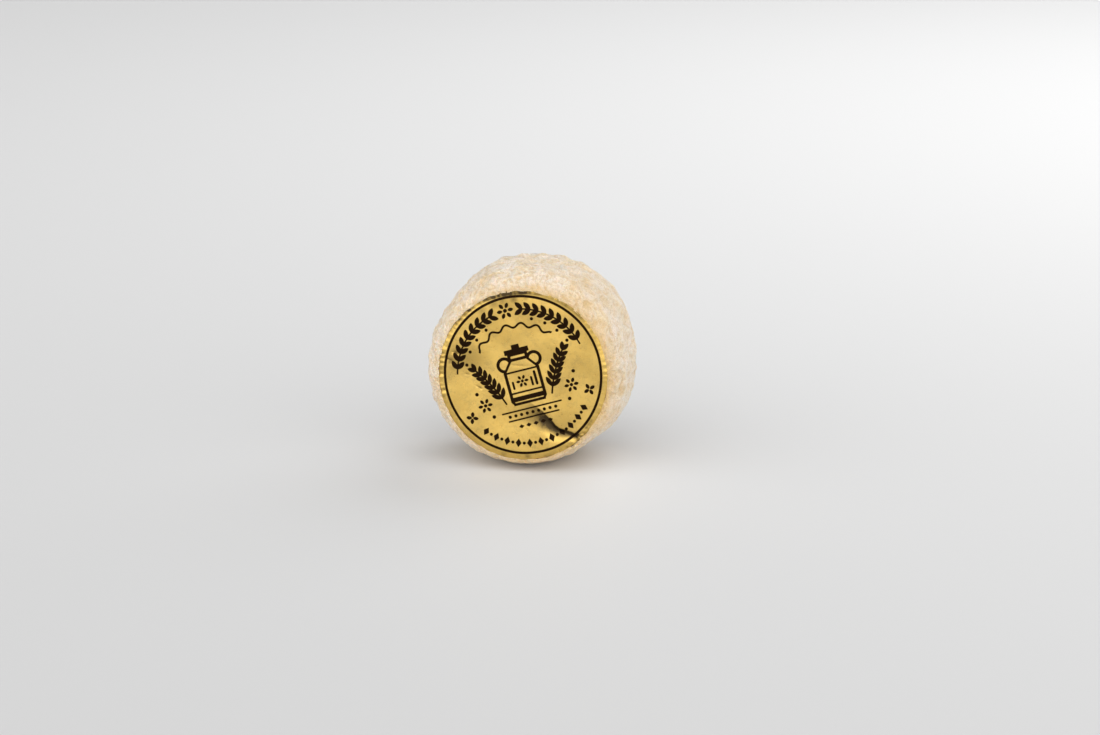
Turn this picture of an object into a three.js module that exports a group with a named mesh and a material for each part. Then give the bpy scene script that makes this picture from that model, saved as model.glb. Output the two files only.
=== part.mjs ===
// A small ripened goat cheese: a creamy drum with a wrinkled rind, standing on its rounded side,
// with a round foil label set into its front face.
// Sizes are in millimetres and angles in degrees. +Z is up, the drum's axis runs along +Y, and the
// label faces -Y. The origin is at the middle of the base.

import * as THREE from "three";

// Drum
const drumRadius = 30.2;
const drumLength = 34.6;
const flatFaceRadius = 22.5; // the front face is flat out to here, then rolls into the shoulder
const shoulderLength = 17.5; // depth at which the shoulder reaches the full radius
const flatBackRadius = 22.2;
const heelLength = 9.9; // depth of the rounded back edge
const faceLean = 5.1; // how far the front face leans back from upright
const restSink = 0.7; // how deep the flat resting spot cuts into the round side

// Roundness of the two edges, as superellipse powers: 2 is an ellipse, more is squarer
const shoulderPower = { radius: 2.8, depth: 3 };
const heelPower = { radius: 2.3, depth: 2.3 };

// Label and its seat
const labelRadius = 25;
const labelThickness = 0.35;
const labelInset = 0.1; // how far the label's front lies behind the face
const labelGap = 0.3; // clear space behind the label
const labelShift = { across: 0, up: -0.5 };
const seatMargin = 0.4; // free band round the label
const lipWidth = 0.5;
const lipHeight = 0.3; // how far the rind stands proud of the face round the label

// Unevenness of the side: whole lobes round the drum, then single swellings and hollows
const lobes = [
  { count: 2, height: 0.18, turn: 45 },
  { count: 3, height: 0.1, turn: 90 },
  { count: 4, height: 0.2, turn: 54 },
];
const lumps = [
  { angle: 20, height: -0.25, spread: 9 },
  { angle: 43, height: 0.22, spread: 9 },
  { angle: 85, height: -0.2, spread: 9 },
  { angle: 112, height: 0.32, spread: 9 },
  { angle: 145, height: -0.5, spread: 11 },
  { angle: 182, height: 0.2, spread: 10 },
  { angle: 222, height: -0.25, spread: 9 },
  { angle: 272, height: 0.2, spread: 12 },
  { angle: 309, height: -0.6, spread: 11 },
  { angle: 336, height: 0.5, spread: 9 },
];

// Bumps of the rind: waves of one length that cross from directions spread evenly over a sphere,
// with their starts spread by the same golden angle
const bumpLength = 5.4;
const bumpHeight = 0.2;
const bumpWaves = 21;
const bumpStart = 2.5; // width of the smooth band beside the seat
const restCalm = 16; // half-angle about the resting spot where the bumps fade out

// Dents of the label and of the face behind it, placed from the middle of the face
const fold = {
  rim: { across: 17.4, up: -18.5 },
  end: { across: 3, up: -10.2 },
  depth: 1.2,
  ledge: 1.3, // reach of the steep side
  slopeAtRim: 1.8, // reach of the gentle side
  slopeAtEnd: 4.4,
};
const dimple = { across: -16, up: 1, depth: 0.5, spread: 3.2 };

const cell = 1.6; // size of a face of the mesh
const smallestRing = 6;

const radians = THREE.MathUtils.degToRad;
const { smoothstep, lerp } = THREE.MathUtils;

// Depth of an edge's superellipse at a radius: 0 on the flat, the edge's whole length at drumRadius.
function edgeDepth(radius, flatRadius, length, power) {
  const out = Math.max(0, (radius - flatRadius) / (drumRadius - flatRadius));
  return length * (1 - (1 - out ** power.radius) ** (1 / power.depth));
}

function faceDepth(radius) {
  return edgeDepth(radius, flatFaceRadius, shoulderLength, shoulderPower);
}

// The same superellipse walked by an angle, from the flat (0) to the full radius (90).
function edgePoint(turn, flatRadius, length, power) {
  const out = Math.sin(radians(turn)) ** (2 / power.radius);
  const back = 1 - Math.cos(radians(turn)) ** (2 / power.depth);
  return new THREE.Vector2(length * back, lerp(flatRadius, drumRadius, out));
}

// Side of the drum as (depth, radius), from the lip round the seat to the middle of the back.
function sideProfile(startRadius) {
  const points = [];
  for (let turn = 1; turn <= 90; turn += 1) {
    const point = edgePoint(turn, flatFaceRadius, shoulderLength, shoulderPower);
    if (point.y > startRadius) points.push(point);
  }
  for (let turn = 90; turn >= 0; turn -= 1) {
    const point = edgePoint(turn, flatBackRadius, heelLength, heelPower);
    points.push(new THREE.Vector2(drumLength - point.x, point.y));
  }
  points.push(new THREE.Vector2(drumLength, 0));
  return points;
}

// The profile again, with points a cell apart and the outward normal at each.
function evenProfile(points) {
  const path = new THREE.CurvePath();
  for (let i = 0; i + 1 < points.length; i += 1) {
    path.add(new THREE.LineCurve(points[i], points[i + 1]));
  }
  const steps = Math.round(path.getLength() / cell);
  return path.getSpacedPoints(steps).map((point, i) => {
    const along = path.getTangentAt(i / steps);
    return { depth: point.x, radius: point.y, normalDepth: -along.y, normalRadius: along.x };
  });
}

function bumps(x, y, z) {
  const goldenAngle = Math.PI * (3 - Math.sqrt(5));
  let sum = 0;
  for (let i = 0; i < bumpWaves; i += 1) {
    const rise = 1 - (2 * i + 1) / bumpWaves;
    const flat = Math.sqrt(1 - rise * rise);
    const turn = i * goldenAngle;
    const reach = x * flat * Math.cos(turn) + y * flat * Math.sin(turn) + z * rise;
    sum += Math.sin((2 * Math.PI * reach) / bumpLength + turn * i);
  }
  return sum / Math.sqrt(bumpWaves / 2);
}

function turnBetween(angle, other) {
  return THREE.MathUtils.euclideanModulo(angle - other + 180, 360) - 180;
}

function unevenness(angle) {
  let height = 0;
  for (const lobe of lobes) {
    height += lobe.height * Math.cos(radians(lobe.count * (angle - lobe.turn)));
  }
  for (const lump of lumps) {
    height += lump.height * Math.exp(-((turnBetween(angle, lump.angle) / lump.spread) ** 2) / 2);
  }
  return height;
}

// Depth of the long fold: a gentle slope that runs down to a steep ledge on its upper right.
function foldDepth(across, up) {
  const run = new THREE.Vector2(fold.end.across - fold.rim.across, fold.end.up - fold.rim.up);
  const length = run.length();
  run.divideScalar(length);
  const place = new THREE.Vector2(across - fold.rim.across, up - fold.rim.up);
  const along = place.dot(run) / length;
  const aside = place.cross(run);
  const slope = lerp(fold.slopeAtRim, fold.slopeAtEnd, Math.min(1, Math.max(0, along)));
  const reach = aside > 0 ? aside / fold.ledge : aside / slope;
  const share = smoothstep(along, -0.15, 0.2) * (1 - smoothstep(along, 0.35, 1.1));
  return fold.depth * share * Math.exp(-reach * reach);
}

function dentDepth(across, up) {
  const apart = Math.hypot(across - dimple.across, up - dimple.up) / dimple.spread;
  return foldDepth(across, up) + dimple.depth * Math.exp(-(apart * apart) / 2);
}

// A point of the front face at a radius and angle about the label's middle, set back by inset.
function facePoint(radius, angle, inset) {
  const across = labelShift.across + radius * Math.cos(angle);
  const up = labelShift.up + radius * Math.sin(angle);
  const depth = faceDepth(Math.hypot(across, up)) + dentDepth(across, up) + inset;
  return leaned(across, depth, up);
}

// The front leans back about the drum's axis, less and less towards the middle of the drum.
function leaned(x, y, z) {
  const share = 1 - smoothstep(y, 0, shoulderLength);
  return new THREE.Vector3(x, y + z * Math.tan(radians(faceLean)) * share, z);
}

// A point of the side or back, with its unevenness and bumps, cut off at the resting plane.
function sidePoint(spot, angle) {
  const degrees = THREE.MathUtils.radToDeg(angle);
  const x = spot.radius * Math.cos(angle);
  const z = spot.radius * Math.sin(angle);
  const onFront = spot.depth < drumLength / 2;
  const fromSeat = onFront ? smoothstep(spot.radius, seatEdge, seatEdge + bumpStart) : 1;
  const fromBase = onSide(spot) * Math.exp(-((turnBetween(degrees, -90) / restCalm) ** 2) / 2);
  const bump = bumpHeight * bumps(x, spot.depth, z) * fromSeat * (1 - fromBase);
  const height = bump + unevenness(degrees) * onSide(spot) * fromSeat;
  const radius = spot.radius + height * spot.normalRadius;
  const depth = spot.depth + height * spot.normalDepth;
  const point = leaned(radius * Math.cos(angle), depth, radius * Math.sin(angle));
  point.z = Math.max(point.z, restSink - drumRadius);
  return point;
}

// 1 on the side of the drum, falling to 0 on its flat faces.
function onSide(spot) {
  return smoothstep(spot.radius, flatBackRadius, drumRadius);
}

function ring(radius, place) {
  const count = Math.max(smallestRing, Math.round((2 * Math.PI * radius) / cell));
  return Array.from({ length: count }, (_, i) => place((2 * Math.PI * i) / count));
}

// Rings of a disc from its middle out to a radius, each placed by its radius and angle.
function discRings(outerRadius, place) {
  const steps = Math.round(outerRadius / cell);
  const rings = [[place(0, 0)]];
  for (let i = 1; i <= steps; i += 1) {
    const radius = (outerRadius * i) / steps;
    rings.push(ring(radius, (angle) => place(radius, angle)));
  }
  return rings;
}

// A closed skin over a stack of rings that starts and ends with a single point.
// Rings run anticlockwise as seen from the first point.
function skin(rings) {
  const index = [];
  let start = 0;
  for (let r = 0; r + 1 < rings.length; r += 1) {
    const near = rings[r].length;
    const far = rings[r + 1].length;
    const farStart = start + near;
    const nearSteps = near === 1 ? 0 : near;
    const farSteps = far === 1 ? 0 : far;
    let i = 0;
    let j = 0;
    while (i < nearSteps || j < farSteps) {
      const a = start + (i % near);
      const b = farStart + (j % far);
      const farIsNext = j < farSteps && (i === nearSteps || (j + 1) * near <= (i + 1) * far);
      if (farIsNext) j += 1;
      else i += 1;
      index.push(a, b, farIsNext ? farStart + (j % far) : start + (i % near));
    }
    start = farStart;
  }
  const geometry = new THREE.BufferGeometry().setFromPoints(rings.flat());
  geometry.setIndex(index);
  geometry.computeVertexNormals();
  return geometry;
}

const seatRadius = labelRadius + seatMargin;
const seatEdge = seatRadius + lipWidth;

function cheeseGeometry() {
  const seatInset = labelInset + labelThickness + labelGap;
  const rings = discRings(seatRadius, (radius, angle) => facePoint(radius, angle, seatInset));
  rings.push(ring(seatEdge, (angle) => facePoint(seatEdge, angle, -lipHeight)));
  for (const spot of evenProfile(sideProfile(seatEdge + cell)).slice(0, -1)) {
    rings.push(ring(spot.radius, (angle) => sidePoint(spot, angle)));
  }
  rings.push([new THREE.Vector3(0, drumLength, 0)]);
  return skin(rings);
}

function labelGeometry() {
  const front = discRings(labelRadius, (radius, angle) => facePoint(radius, angle, labelInset));
  const backInset = labelInset + labelThickness;
  const back = discRings(labelRadius, (radius, angle) => facePoint(radius, angle, backInset));
  return skin([...front, ...back.reverse()]);
}

const rind = new THREE.MeshStandardMaterial({ color: 0xe9d9ba, roughness: 0.85, metalness: 0 });
const foil = new THREE.MeshStandardMaterial({ color: 0xdcb55f, roughness: 0.35, metalness: 1 });

const cheese = new THREE.Mesh(cheeseGeometry(), rind);
cheese.name = "cheese";
const label = new THREE.Mesh(labelGeometry(), foil);
label.name = "label";

const box = new THREE.Box3().expandByObject(cheese).expandByObject(label);
const middle = box.getCenter(new THREE.Vector3());
const group = new THREE.Group();
for (const mesh of [cheese, label]) {
  mesh.position.set(-middle.x, -middle.y, -box.min.z);
  group.add(mesh);
}

export default group;
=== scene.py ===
import math

import bpy
import numpy as np
from mathutils import Matrix, Vector


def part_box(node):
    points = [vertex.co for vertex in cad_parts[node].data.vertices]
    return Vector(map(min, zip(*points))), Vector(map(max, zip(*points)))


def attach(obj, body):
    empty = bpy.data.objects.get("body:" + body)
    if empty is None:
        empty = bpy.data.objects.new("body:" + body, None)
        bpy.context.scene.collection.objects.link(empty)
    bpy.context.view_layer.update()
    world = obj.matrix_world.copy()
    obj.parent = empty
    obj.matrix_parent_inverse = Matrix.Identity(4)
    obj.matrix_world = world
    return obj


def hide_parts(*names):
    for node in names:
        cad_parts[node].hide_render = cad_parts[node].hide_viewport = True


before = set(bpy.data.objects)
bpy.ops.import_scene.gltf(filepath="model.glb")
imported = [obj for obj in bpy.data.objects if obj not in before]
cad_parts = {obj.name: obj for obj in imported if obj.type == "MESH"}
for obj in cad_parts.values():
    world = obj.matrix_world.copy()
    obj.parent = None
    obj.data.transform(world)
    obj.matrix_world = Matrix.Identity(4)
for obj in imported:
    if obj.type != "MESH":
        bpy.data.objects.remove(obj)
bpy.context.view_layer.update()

mm = 0.001
goldenAngle = math.pi * (3 - math.sqrt(5))

# The drum, in millimetres and degrees: x runs across, y back from the middle of the front face and
# z up from the drum's axis, until placed() moves it to where the frame holds it. Angles round the
# axis run from 0 on the right to 90 at the top.
drum = {
    "radius": 30.2,
    "length": 34.6,
    "flatFace": 22.5,  # radius at which the front starts to round off
    "shoulder": 17.5,  # how far back it rounds off
    "shoulderPower": (2.8, 3.0),  # of its superellipse, outwards and back
    "flatBack": 22.2,
    "heel": 9.9,
    "heelPower": (2.3, 2.3),
    "faceLean": 5.1,
    "restSink": 0.7,  # depth of the flat spot that the drum stands on
    "lobes": [(2, 0.18, 45), (3, 0.1, 90), (4, 0.2, 54)],  # count, height, turn
    "lumps": [  # angle, height, spread
        (20, -0.25, 9), (43, 0.22, 9), (85, -0.2, 9), (112, 0.32, 9), (145, -0.5, 11),
        (182, 0.2, 10), (222, -0.25, 9), (272, 0.2, 12), (309, -0.6, 11), (336, 0.5, 9),
    ],
    "bumpLength": 5.4,
    "bumpHeight": 0.2,
    "bumpWaves": 21,
    "bumpStart": 2.5,  # distance from the seat in which the bumps rise
    "restCalm": 16,  # spread of the smooth stretch that the drum stands on
}
bottom = -90  # the angle of that stretch

# The label's seat and the dents that go through label and cheese alike
seat = {
    "labelRadius": 25,
    "inset": 0.1,  # of the label's front behind the plain face
    "thickness": 0.35,
    "gap": 0.3,  # behind the label
    "shift": (0, -0.5),  # of the label's middle from the drum's axis
    "margin": 0.4,
    "lipWidth": 0.5,
    "lipHeight": 0.3,
    "lipBlend": 1.6,
    "wallInset": 0.22,  # how far inside the label's edge the rind's wall starts
    "wallSlope": 0.35,  # width of the wall that rises beside the label
    "wallDrift": 0.12,  # how far the wall wanders in and out round the label
    "driftWaves": (5, 2, 20),  # the longest's count in a turn, the step to the next and how many
    "wallLap": (72, 45, 0.3),  # angle, spread and distance by which the rind laps over the label
    "wallOpen": [  # from, to and width of the stretches where a gap shows beside the label
        (169, 172, 0.3), (177, 179, 0.25), (305, 307, 0.3), (311, 313, 0.25), (286, 288, 0.2),
    ],
    "openBlend": 0.8,  # degrees in which such a gap closes
}
seat["edge"] = seat["labelRadius"] + seat["margin"] + seat["lipWidth"]

dents = {
    "foldRim": (17.4, -18.5),
    "foldEnd": (3.0, -10.2),
    "foldDepth": 0.85,
    "foldLedge": 0.75,  # reach of the steep side
    "foldLead": 1.0,  # from the top of the ledge to its foot
    "foldLine": [  # place along the fold, distance of the ledge to the upper right of a straight line
        (0.1, 0.45), (0.2, 0.25), (0.32, -0.25), (0.42, -0.75), (0.5, -0.6), (0.6, 0.05), (0.7, 0.35),
        (0.82, 0.85), (1.1, 1.2),
    ],
    "foldSlope": (1.2, 3.2),  # reach of the gentle side at the rim and at the inner end
    "foldRise": (-0.15, 0.35),  # places between which the fold deepens
    "foldFade": (0.4, 1.1),  # and between which it runs out
    "dimple": (-16.0, 1.0),
    "dimpleDepth": 0.3,
    "dimpleSpread": 3.2,
}


# An S curve from 0 at low to 1 at high: 3 t² - 2 t³, with t the share of the way between them.
def smooth(value, low, high):
    share = np.clip((value - low) / (high - low), 0, 1)
    return share * share * (3 - 2 * share)


# A bell curve: 1 in the middle, and e to the power of -1/2 at one spread from it.
def bell(apart, spread):
    return np.exp(-0.5 * (apart / spread) ** 2)


# The turn from one angle to another, the short way round: -180 to 180 degrees.
def turnBetween(angle, other):
    return (angle - other + 180) % 360 - 180


# Place along a line, 0 at its start and 1 at its end, and distance to the right of it.
def besideLine(x, y, start, end):
    runX = end[0] - start[0]
    runY = end[1] - start[1]
    length = math.hypot(runX, runY)
    along = ((x - start[0]) * runX + (y - start[1]) * runY) / length**2
    aside = ((x - start[0]) * runY - (y - start[1]) * runX) / length
    return along, aside


# Depth of a rounded edge at a radius: a superellipse from the flat face out to the full radius.
def edgeDepth(radius, flat, length, power):
    out = np.clip((radius - flat) / (drum["radius"] - flat), 0, 1)
    return length * (1 - (1 - out ** power[0]) ** (1 / power[1]))


# Depth of the front at a radius: none on the flat, then the shoulder's superellipse.
def faceDepth(radius):
    return edgeDepth(radius, drum["flatFace"], drum["shoulder"], drum["shoulderPower"])


# Sum of sine waves of one length that cross from directions spread evenly over a sphere, one for
# each phase. It lies mostly between -2 and 2.
def crossedWaves(x, y, z, length, phases):
    count = len(phases)
    total = np.zeros(np.broadcast(x, y, z).shape)
    for i in range(count):
        rise = 1 - (2 * i + 1) / count
        flat = math.sqrt(1 - rise * rise)
        turn = i * goldenAngle
        reach = x * flat * math.cos(turn) + y * flat * math.sin(turn) + z * rise
        total += np.sin(2 * math.pi * reach / length + phases[i])
    return total / math.sqrt(count / 2)


# Well mixed phases without chance: the golden angle times each number's square.
def evenPhases(count):
    return [i * goldenAngle * i for i in range(count)]


# Random phases from 0 to a full turn, the same ones for the same seed.
def seededPhases(count, seed):
    return np.random.default_rng(seed).uniform(0, 2 * math.pi, count)


# Height of the side at an angle round the drum: a cosine for each lobe and a bell for each lump.
def unevenness(angle):
    height = np.zeros(np.shape(angle))
    for count, lobeHeight, turn in drum["lobes"]:
        height += lobeHeight * np.cos(np.radians(count * (angle - turn)))
    for turn, lumpHeight, spread in drum["lumps"]:
        height += lumpHeight * bell(turnBetween(angle, turn), spread)
    return height


# Place along the fold, from 0 at the rim to 1 at its inner end, and distance to the upper right of
# its ledge.
def foldPlace(x, z):
    along, aside = besideLine(x, z, dents["foldRim"], dents["foldEnd"])
    places, distances = zip(*dents["foldLine"])
    return along, aside - np.interp(along, places, distances)


# Depth of the long fold: a gentle slope that runs down to a steep ledge on its upper right, each
# side a bell curve of its own width.
def foldDepth(x, z):
    along, aside = foldPlace(x, z)
    slopeAtRim, slopeAtEnd = dents["foldSlope"]
    slope = slopeAtRim + (slopeAtEnd - slopeAtRim) * np.clip(along, 0, 1)
    fromFoot = aside + dents["foldLead"]
    reach = np.where(fromFoot > 0, fromFoot / dents["foldLedge"], fromFoot / slope)
    share = smooth(along, *dents["foldRise"]) * (1 - smooth(along, *dents["foldFade"]))
    return dents["foldDepth"] * share * np.exp(-reach * reach)


# Depth of the fold and of the shallow dimple, a bell round its middle.
def dentDepth(x, z):
    apart = np.hypot(x - dents["dimple"][0], z - dents["dimple"][1])
    return foldDepth(x, z) + dents["dimpleDepth"] * bell(apart, dents["dimpleSpread"])


# The front leans back: height times the lean's tangent, less and less down to the shoulder's depth.
def leaned(y, z):
    share = 1 - smooth(y, 0, drum["shoulder"])
    return y + z * math.tan(math.radians(drum["faceLean"])) * share


# Where the middle of the front face lies in the frame: the label's box less its surface's reach,
# and the cheese's underside.
def faceOrigin():
    labelLow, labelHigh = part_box("label")
    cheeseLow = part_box("cheese")[0]
    turns = 720
    rings = 16
    angle = np.linspace(0, 2 * math.pi, turns + 1)
    radius = seat["labelRadius"] * np.linspace(0, 1, rings + 1)[:, None]
    x = seat["shift"][0] + radius * np.cos(angle)
    z = seat["shift"][1] + radius * np.sin(angle)
    y = faceDepth(np.hypot(x, z)) + dentDepth(x, z) + seat["inset"]
    return np.array([
        labelHigh.x - x.max() * mm,
        labelLow.y - leaned(y, z).min() * mm,
        cheeseLow.z + (drum["radius"] - drum["restSink"]) * mm,
    ])


origin = faceOrigin()


# Rows of points in the frame's metres, from grids of x, y and z.
def placed(x, y, z):
    points = np.stack(np.broadcast_arrays(x, y, z), -1).reshape(-1, 3)
    return points * mm + origin


# Quads of a grid whose columns close into rings, with a single point before and after the rings.
def ringFaces(rows, columns, first, start, last):
    column = np.arange(columns)
    following = (column + 1) % columns
    row = start + columns * np.arange(rows - 1)[:, None]
    corners = [row + column, row + columns + column, row + columns + following, row + following]
    faces = np.stack(corners, -1).reshape(-1, 4).tolist()
    if first is not None:
        faces += np.stack([np.full(columns, first), start + column, start + following], -1).tolist()
    if last is not None:
        final = start + columns * (rows - 1)
        faces += np.stack([np.full(columns, last), final + following, final + column], -1).tolist()
    return faces


# A piece whose attributes hold one value for each point.
def makePiece(name, points, faces, attributes, material):
    mesh = bpy.data.meshes.new(name)
    mesh.from_pydata(points.tolist(), [], faces)
    mesh.validate()
    for attribute, values in attributes.items():
        layer = mesh.attributes.new(attribute, "FLOAT", "POINT")
        layer.data.foreach_set("value", np.ascontiguousarray(values, np.float32).ravel())
    mesh.shade_smooth()
    mesh.materials.append(material)
    piece = bpy.data.objects.new(name, mesh)
    bpy.context.scene.collection.objects.link(piece)
    return piece


# A socket in an expression: each operator on it adds one Math node to its tree.
class Wire:
    def __init__(self, bench, socket):
        self.bench = bench
        self.socket = socket

    def math(self, operation, first, second, clamp=False):
        settings = {"operation": operation, "use_clamp": clamp}
        return self.bench.node("ShaderNodeMath", settings, {0: first, 1: second}).wire(0)

    def __add__(self, other):
        return self.math("ADD", self, other)

    def __sub__(self, other):
        return self.math("SUBTRACT", self, other)

    def __rsub__(self, other):
        return self.math("SUBTRACT", other, self)

    def __mul__(self, other):
        return self.math("MULTIPLY", self, other)

    __radd__ = __add__
    __rmul__ = __mul__

    def clamped(self):
        return self.math("ADD", self, 0.0, clamp=True)

    # 0 below low, 1 above high and an S curve between.
    def ramp(self, low, high):
        settings = {"interpolation_type": "SMOOTHSTEP"}
        values = {"Value": self, "From Min": low, "From Max": high}
        return self.bench.node("ShaderNodeMapRange", settings, values).wire(0)


# A node just made, whose outputs are taken as wires.
class Made:
    def __init__(self, bench, node):
        self.bench = bench
        self.node = node

    def wire(self, output):
        return Wire(self.bench, self.node.outputs[output])


# A node tree to work in.
class Bench:
    def __init__(self, tree):
        self.tree = tree
        tree.nodes.clear()

    # Any node, from its type, its settings and the values or wires of its open sockets.
    def node(self, kind, settings=None, values=None):
        node = self.tree.nodes.new(kind)
        for setting, value in (settings or {}).items():
            setattr(node, setting, value)
        for name, value in (values or {}).items():
            self.plug(self.opened(node, name), value)
        return Made(self, node)

    def opened(self, node, name):
        if isinstance(name, int):
            return node.inputs[name]
        return next(socket for socket in node.inputs if socket.name == name and socket.enabled)

    def plug(self, socket, value):
        if isinstance(value, Wire):
            self.tree.links.new(value.socket, socket)
        elif isinstance(value, tuple) and socket.type == "RGBA":
            socket.default_value = (*value, 1.0)
        else:
            socket.default_value = value

    # The first colour where the share is 0, the other where it is 1.
    def mixed(self, colour, other, share):
        values = {"Factor": share, "A": colour, "B": other}
        made = self.node("ShaderNodeMix", {"data_type": "RGBA"}, values)
        return Wire(self, next(socket for socket in made.node.outputs if socket.enabled))

    def spot(self):
        return self.node("ShaderNodeTexCoord").wire("Object")

    # Cloudy noise, 0 to 1, with blobs of about this size in millimetres, drawn out along y.
    def clouds(self, size, detail=2.0, roughness=0.5, shift=(0.0, 0.0, 0.0), drawn=1.0):
        values = {"Vector": self.spot(), "Location": shift, "Scale": (1.0, 1 / drawn, 1.0)}
        moved = self.node("ShaderNodeMapping", None, values).wire(0)
        values = {"Vector": moved, "Scale": 1 / (size * mm), "Detail": detail, "Roughness": roughness}
        return self.node("ShaderNodeTexNoise", None, values).wire(0)

    # A value that the mesh carries at each point.
    def carried(self, attribute):
        return self.node("ShaderNodeAttribute", {"attribute_name": attribute}).wire("Fac")

    def bumped(self, height, distance, strength=1.0):
        values = {"Height": height, "Distance": distance * mm, "Strength": strength}
        return self.node("ShaderNodeBump", None, values).wire(0)

    def finished(self, values):
        shader = self.node("ShaderNodeBsdfPrincipled", None, values).wire(0)
        self.node("ShaderNodeOutputMaterial", None, {"Surface": shader})


# A material and the bench for its nodes.
def newMaterial(name):
    material = bpy.data.materials.new(name)
    material.use_nodes = True
    return material, Bench(material.node_tree)


# Rind: what a user would change
rind = {
    "columns": 520,
    "hiddenRows": 12, "lipRows": 18, "sideRows": 113, "backRows": 47,
    "lipReach": 0.6,  # of the lip's rows, in from the label's edge and out from the seat's
    "outlineSteps": 180,  # along each rounded edge
    "wormLength": 2.1, "wormDepth": 0.36, "wormSeed": 11,  # of the wrinkles, crest to crest
    "fineLength": 1.15, "fineDepth": 0.17, "fineSeed": 31,
    "fineShare": 0.35,  # of the fine wrinkles in the colour
    "waves": 34,  # that cross to make the wrinkles
    "warp": 0.7, "warpLength": 2.6, "longWaves": 12,  # push of longer waves, and length in wrinkles
    "steepness": (1.3, 0.35),  # how sharply ridges rise, and how much they outdo the valleys
    "wrinkleStart": 0.6,  # distance from the label in which the wrinkles rise
    "calmLength": 15, "calmSeed": 18,  # of the patches where the wrinkles are shallow
    "calmRange": (-1.6, 0.6),  # of their waves, from the shallowest wrinkles to the deepest
    "calmShare": 0.45,  # depth that is left there
    "pressed": 0.8,  # share of the wrinkles that is pressed out where the drum stands
    "sunk": 0.12,  # keeps the ridges inside the plain drum
    "tuck": 0.7, "tuckSpread": 28,  # how far the shoulder draws in below the label
    "tuckRadius": 28.5,  # where it is fully drawn in
    "tuckFade": (9, 15),  # depths between which it comes out again
    "lipShare": 0.7,  # of the solid's lip
    "lipPlace": 0.8,  # from the wall to the middle of the lip
    "lipLow": 35,  # spread of the stretch at the bottom without a lip
    "seatRoom": 0.45,  # behind the label's back
    "spotDepth": 0.4,
    "driftSeed": 51,
    "cream": (0.87, 0.71, 0.48),
    # valley: the rind's peach in the valleys, darkened there as painted shade
    "valley": (0.74, 0.54, 0.31),
    # pale mould bloom in patches, also used as a painted highlight on the ridge crests
    "bloomAndHighlight": (0.90, 0.80, 0.70),
    # painted shade in the pits that the bump sinks
    "pitShade": (0.50, 0.36, 0.20),
    # yellow-brown of real patches, also used as painted shade beside the label and low down
    "tan": (0.70, 0.46, 0.18),
    # brown of real spots, also used as painted shade in the gaps beside the label and a painted contact
    # shadow at the foot
    "brownAndShadow": (0.17, 0.10, 0.045),
    "patchSize": 5, "blotchSize": 1.8, "grainSize": 0.45, "pitSize": 0.33,
    "lintSize": 0.8, "lintDepth": 0.8,
    "bloomAndHighlightShare": 0.9, "pitShadeShare": 0.6,
    "glowDepth": 1.3,  # how far light sinks in
    "tanReach": (1.35, 0.5),  # of the tan and painted shade beside the label at the top, and how much more at the right
    "tanShadeShare": (0.75, 0.25),  # its strength in the same way
    "tanShadeFoot": (28, 0.85),  # spread and strength of the tan and painted shade low down
    "tanShadeFootStart": (20, 26),  # radii between which that starts
    "footShadowBand": (0.9, 0.45),  # height and strength of the painted brown contact shadow where the drum stands
    "gapBlend": 0.3, "gapDark": 0.2,  # width at which a gap beside the label is fully brown with painted shade
    "tanMarks": [  # place, spread, strength: yellow-brown patches
        ((17.3, 8.6, 24.3), 1.6, 0.6), ((17.5, 2.9, 20.0), 1.7, 0.9), ((20.5, 1.8, 15.5), 1.4, 0.8),
        ((28.6, 4.8, -4.5), 1.4, 0.8), ((7.2, 7.5, 28.2), 1.6, 0.5), ((14.6, 4.8, 24.5), 1.3, 0.6),
        ((-25.6, 0.3, -4.6), 2.4, 0.5), ((-24.8, 0.5, -10.7), 2.4, 0.6), ((26.1, 3.7, -12.2), 2.2, 0.6),
        ((-15.8, 0.0, -23.0), 3.0, 0.4), ((15.2, 1.9, -23.5), 3.0, 0.4), ((20.0, 10.0, 22.5), 5.0, 0.3),
        # the last, broad mark is painted shade that darkens the top left
        ((-14.0, 5.0, 25.5), 4.0, 0.25),
    ],
    "brownMarks": [  # place, spread, strength: small spots and a fissure by the label
        ((-8.2, 4.6, 26.8), 0.4, 0.5), ((-1.8, 2.9, 24.6), 0.3, 0.6), ((-1.9, 3.2, 25.4), 0.3, 0.5),
        ((-1.9, 3.6, 26.2), 0.3, 0.4), ((-8.4, 24.3, 28.7), 0.7, 0.25), ((-9.3, 4.6, 26.9), 0.3, 0.3),
        ((8.0, 0.0, -23.9), 0.5, 0.4),
    ],
    "knobs": [((3.0, 24.2, 30.0), 1.1, 0.3)],  # place, spread, height
    "hollows": [((-1.9, 24.3, 30.0), 1.6, 0.5)],
}


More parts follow.
